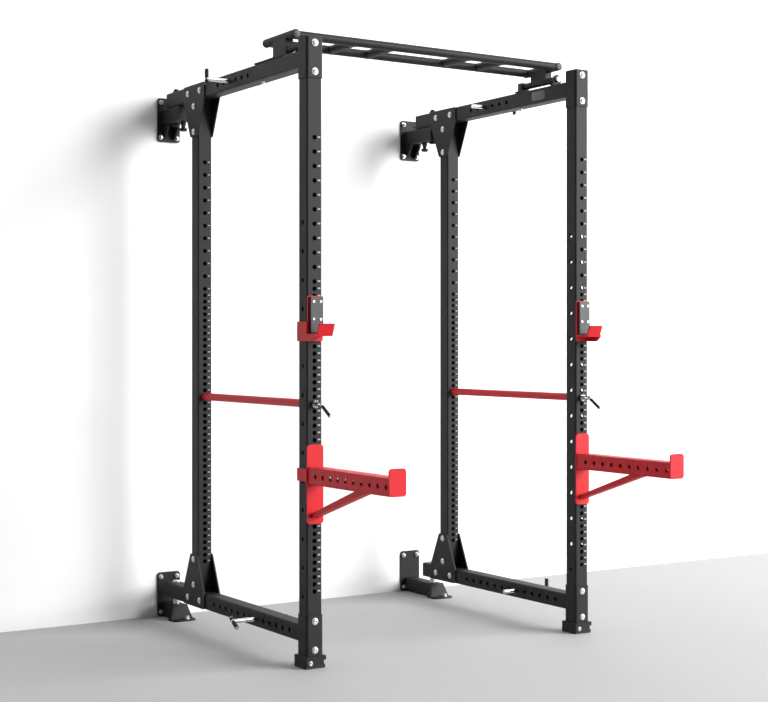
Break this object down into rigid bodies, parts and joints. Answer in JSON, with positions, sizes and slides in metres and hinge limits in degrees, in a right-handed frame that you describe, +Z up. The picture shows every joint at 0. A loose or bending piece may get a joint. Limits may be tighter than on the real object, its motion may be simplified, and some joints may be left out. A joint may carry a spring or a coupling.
{
  "type": "folding wall-mounted power cage",
  "caption": "Wall-hinged power cage with two drilled side frames, a ladder pull-up bar, J-cups, spotter arms, pipe safeties and band pegs.",
  "frame": {"origin": "centre of the bounding box in plan, on the floor", "axes": "+Z up, +Y towards the wall behind the cage, +X to the right for somebody facing the wall"},
  "size_m": [1.462, 1.75, 2.239],
  "materials": {
    "black_steel": "satin charcoal powder coat",
    "red_steel": "satin red powder coat",
    "zinc_steel": "bright zinc plate",
    "chrome_bolt": "bright plated",
    "chrome_rod": "polished, with black rubber grips",
    "rubber": "matte",
    "black_plastic": "moulded",
    "liner_plastic": "UHMW polyethylene, satin"
  },
  "bodies": {
    "wall_mounts": {"left_top_bracket": "black_steel", "left_bottom_bracket": "black_steel", "left_top_pin": "black_steel", "left_bottom_pin": "zinc_steel", "left_plunger_housing": "black_steel", "right_top_bracket": "black_steel", "right_bottom_bracket": "black_steel", "right_top_pin": "black_steel", "right_bottom_pin": "zinc_steel", "right_plunger_housing": "black_steel"},
    "left_frame": {"left_rear_upright": "black_steel", "left_front_upright": "black_steel", "left_top_beam": "black_steel", "left_bottom_beam": "black_steel", "left_gussets": "black_steel", "left_sleeves": "black_steel", "left_frame_bolts": "chrome_bolt", "left_foot": "black_steel", "left_foot_pad": "rubber", "left_cap": "black_plastic"},
    "left_plunger_pin": {"left_plunger": "black_steel"},
    "left_cup": {"left_jcup": "red_steel", "left_jcup_liner": "liner_plastic"},
    "left_spotter": {"left_spotter_plate": "red_steel", "left_spotter_arm": "red_steel", "left_spotter_tip": "red_steel", "left_spotter_brace": "red_steel"},
    "left_pipe": {"left_safety_pipe": "red_steel"},
    "left_rod": {"left_safety_rod": "chrome_rod"},
    "left_upper_peg": {"left_top_peg": "chrome_rod"},
    "left_lower_peg": {"left_bottom_peg": "chrome_rod"},
    "right_frame": {"right_rear_upright": "black_steel", "right_front_upright": "black_steel", "right_top_beam": "black_steel", "right_bottom_beam": "black_steel", "right_gussets": "black_steel", "right_sleeves": "black_steel", "right_frame_bolts": "chrome_bolt", "right_foot": "black_steel", "right_foot_pad": "rubber", "right_cap": "black_plastic"},
    "right_plunger_pin": {"right_plunger": "black_steel"},
    "right_cup": {"right_jcup": "red_steel", "right_jcup_liner": "liner_plastic"},
    "right_spotter": {"right_spotter_plate": "red_steel", "right_spotter_arm": "red_steel", "right_spotter_tip": "red_steel", "right_spotter_brace": "red_steel"},
    "right_pipe": {"right_safety_pipe": "red_steel"},
    "right_rod": {"right_safety_rod": "chrome_rod"},
    "right_upper_peg": {"right_top_peg": "chrome_rod"},
    "right_lower_peg": {"right_bottom_peg": "chrome_rod"},
    "bar_seat": {"right_bar_mount": "black_steel", "right_bar_bolt": "zinc_steel"},
    "pull_up_bar": {"bar_rails": "black_steel", "bar_rungs": "black_steel", "left_bar_end": "black_steel", "right_bar_end": "black_steel", "left_bar_mount": "black_steel", "left_bar_bolt": "zinc_steel"}
  },
  "joints": [
    {"name": "left_fold", "type": "hinge", "parent": "wall_mounts", "child": "left_frame", "pos_m": [-0.598, 0.795, 0.112], "axis": [0, 0, 1], "range_deg": [-80, 40]},
    {"name": "left_lock", "type": "slide", "parent": "wall_mounts", "child": "left_plunger_pin", "axis": [0, 0, 1], "range_m": [0, 0.014]},
    {"name": "left_cup_off", "type": "slide", "parent": "left_frame", "child": "left_cup", "axis": [0, -1, 0], "range_m": [0, 0.09]},
    {"name": "left_spotter_off", "type": "slide", "parent": "left_frame", "child": "left_spotter", "axis": [0, -1, 0], "range_m": [0, 0.09]},
    {"name": "left_pipe_roll", "type": "hinge", "parent": "left_frame", "child": "left_pipe", "pos_m": [-0.598, 0.122, 0.915], "axis": [0, 1, 0], "continuous": true},
    {"name": "left_rod_pull", "type": "slide", "parent": "left_frame", "child": "left_rod", "axis": [0, -1, 0], "range_m": [0, 0.98]},
    {"name": "left_upper_peg_pull", "type": "slide", "parent": "left_frame", "child": "left_upper_peg", "axis": [-1, 0, 0], "range_m": [0, 0.2]},
    {"name": "left_lower_peg_pull", "type": "slide", "parent": "left_frame", "child": "left_lower_peg", "axis": [-1, 0, 0], "range_m": [0, 0.2]},
    {"name": "right_fold", "type": "hinge", "parent": "wall_mounts", "child": "right_frame", "pos_m": [0.598, 0.687, 0.112], "axis": [0, 0, 1], "range_deg": [-40, 90]},
    {"name": "right_lock", "type": "slide", "parent": "wall_mounts", "child": "right_plunger_pin", "axis": [0, 0, 1], "range_m": [0, 0.014]},
    {"name": "right_cup_off", "type": "slide", "parent": "right_frame", "child": "right_cup", "axis": [0, -1, 0], "range_m": [0, 0.09]},
    {"name": "right_spotter_off", "type": "slide", "parent": "right_frame", "child": "right_spotter", "axis": [0, -1, 0], "range_m": [0, 0.09]},
    {"name": "right_pipe_roll", "type": "hinge", "parent": "right_frame", "child": "right_pipe", "pos_m": [0.598, 0.122, 0.915], "axis": [0, 1, 0], "continuous": true},
    {"name": "right_rod_pull", "type": "slide", "parent": "right_frame", "child": "right_rod", "axis": [0, -1, 0], "range_m": [0, 0.98]},
    {"name": "right_upper_peg_pull", "type": "slide", "parent": "right_frame", "child": "right_upper_peg", "axis": [1, 0, 0], "range_m": [0, 0.2]},
    {"name": "right_lower_peg_pull", "type": "slide", "parent": "right_frame", "child": "right_lower_peg", "axis": [1, 0, 0], "range_m": [0, 0.2]},
    {"name": "bar_lift", "type": "slide", "parent": "wall_mounts", "child": "bar_seat", "axis": [0, 0, 1], "range_m": [0, 0.3]},
    {"name": "bar_tilt", "type": "hinge", "parent": "bar_seat", "child": "pull_up_bar", "pos_m": [0.598, -0.084, 2.173], "axis": [0, 1, 0], "range_deg": [0, 90]}
  ]
}
